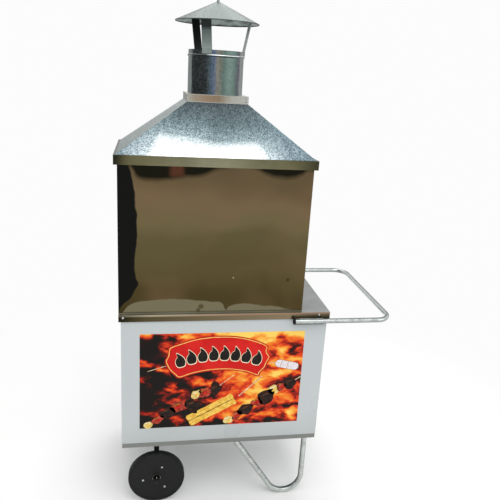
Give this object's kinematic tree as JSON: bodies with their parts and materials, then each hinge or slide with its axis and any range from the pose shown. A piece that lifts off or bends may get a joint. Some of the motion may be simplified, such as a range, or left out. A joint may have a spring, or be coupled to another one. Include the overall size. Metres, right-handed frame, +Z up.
{
  "type": "push vending cart",
  "caption": "Wheeled push cart for grilled skewers, with a charcoal brazier under a smoke hood, roofed flue with rain cap, storage cabinet and bent push handle",
  "frame": {"origin": "on the floor under the middle of the whole cart's box", "axes": "+X along the worktop from the wheels to the push handle, +Y from the customer's side to the cook's side, +Z up"},
  "size_m": [1.0735, 0.6172, 1.948],
  "materials": {
    "galvanised": "hot-dip galvanised, faint spangle",
    "stainless": "bright stainless sheet",
    "white_paint": "gloss white paint",
    "grey_paint": "satin grey paint",
    "black_rubber": "solid rubber",
    "black_plastic": "moulded",
    "bronze": "plain bearing bronze",
    "zinc_steel": "zinc plated",
    "black_steel": "heat-darkened steel",
    "print": "printed vinyl film"
  },
  "bodies": {
    "cart": {"axle": "black_steel", "axle_cross_tube": "grey_paint", "axle_hangers": "grey_paint", "axle_nuts_and_washers": "black_steel", "axle_split_pins": "zinc_steel", "base_rails": "grey_paint", "cabinet_floor": "galvanised", "cabinet_front_panel": "white_paint", "cabinet_left_panel": "white_paint", "cabinet_right_panel": "white_paint", "cap_cone": "galvanised", "cap_finial": "zinc_steel", "cap_straps": "galvanised", "drawer_runners": "galvanised", "eave_band": "stainless", "flue_collar": "stainless", "flue_pipe": "galvanised", "flue_rivets": "zinc_steel", "front_graphic": "print", "front_leg": "galvanised", "handle_clamp_screws": "zinc_steel", "handle_sleeves": "galvanised", "hinge_fixed_leaves": "zinc_steel", "hinge_pins": "zinc_steel", "hood_front_panel": "stainless", "hood_left_panel": "stainless", "hood_rear_lintel": "stainless", "hood_right_panel": "stainless", "rear_cross_rails": "white_paint", "rear_leg": "galvanised", "rear_vent_panel": "white_paint", "roof_front_sheet": "galvanised", "roof_left_sheet": "galvanised", "roof_rear_sheet": "galvanised", "roof_right_sheet": "galvanised", "worktop": "stainless", "worktop_screws": "zinc_steel"},
    "drawer": {"ash_drawer": "galvanised", "drawer_front": "white_paint", "drawer_pull": "zinc_steel"},
    "charcoal_box": {"brazier": "black_steel"},
    "charcoal_grate": {"coal_grate": "black_steel"},
    "front_wheel": {"front_wheel_bolts": "zinc_steel", "front_wheel_bush": "bronze", "front_wheel_disc": "black_plastic", "front_wheel_hub": "zinc_steel", "front_wheel_tyre": "black_rubber"},
    "cooking_grill": {"grill": "zinc_steel"},
    "push_handle": {"handle": "galvanised"},
    "door_left": {"left_door": "white_paint", "left_door_knob": "black_plastic", "left_door_leaves": "zinc_steel"},
    "rear_wheel": {"rear_wheel_bolts": "zinc_steel", "rear_wheel_bush": "bronze", "rear_wheel_disc": "black_plastic", "rear_wheel_hub": "zinc_steel", "rear_wheel_tyre": "black_rubber"},
    "door_right": {"right_door": "white_paint", "right_door_knob": "black_plastic", "right_door_leaves": "zinc_steel"}
  },
  "joints": [
    {"name": "front_wheel_spin", "type": "hinge", "parent": "cart", "child": "front_wheel", "pos_m": [-0.38116, -0.2515, 0.1125], "axis": [0, 1, 0], "continuous": true},
    {"name": "rear_wheel_spin", "type": "hinge", "parent": "cart", "child": "rear_wheel", "pos_m": [-0.38116, 0.2515, 0.1125], "axis": [0, 1, 0], "continuous": true},
    {"name": "handle_slide", "type": "slide", "parent": "cart", "child": "push_handle", "axis": [1, 0, 0], "range_m": [-0.2, 0.03]},
    {"name": "left_door_swing", "type": "hinge", "parent": "cart", "child": "door_left", "pos_m": [-0.49026, 0.2796, 0.452], "axis": [0, 0, 1], "range_deg": [0, 110]},
    {"name": "right_door_swing", "type": "hinge", "parent": "cart", "child": "door_right", "pos_m": [0.24074, 0.2796, 0.452], "axis": [0, 0, -1], "range_deg": [0, 110]},
    {"name": "drawer_slide", "type": "slide", "parent": "cart", "child": "drawer", "axis": [0, 1, 0], "range_m": [0, 0.4]},
    {"name": "brazier_lift", "type": "slide", "parent": "cart", "child": "charcoal_box", "axis": [0, 0, 1], "range_m": [0, 0.2]},
    {"name": "coal_grate_lift", "type": "slide", "parent": "charcoal_box", "child": "charcoal_grate", "axis": [0, 0, 1], "range_m": [0, 0.06]},
    {"name": "grill_lift", "type": "slide", "parent": "charcoal_box", "child": "cooking_grill", "axis": [0, 0, 1], "range_m": [0, 0.15]}
  ]
}
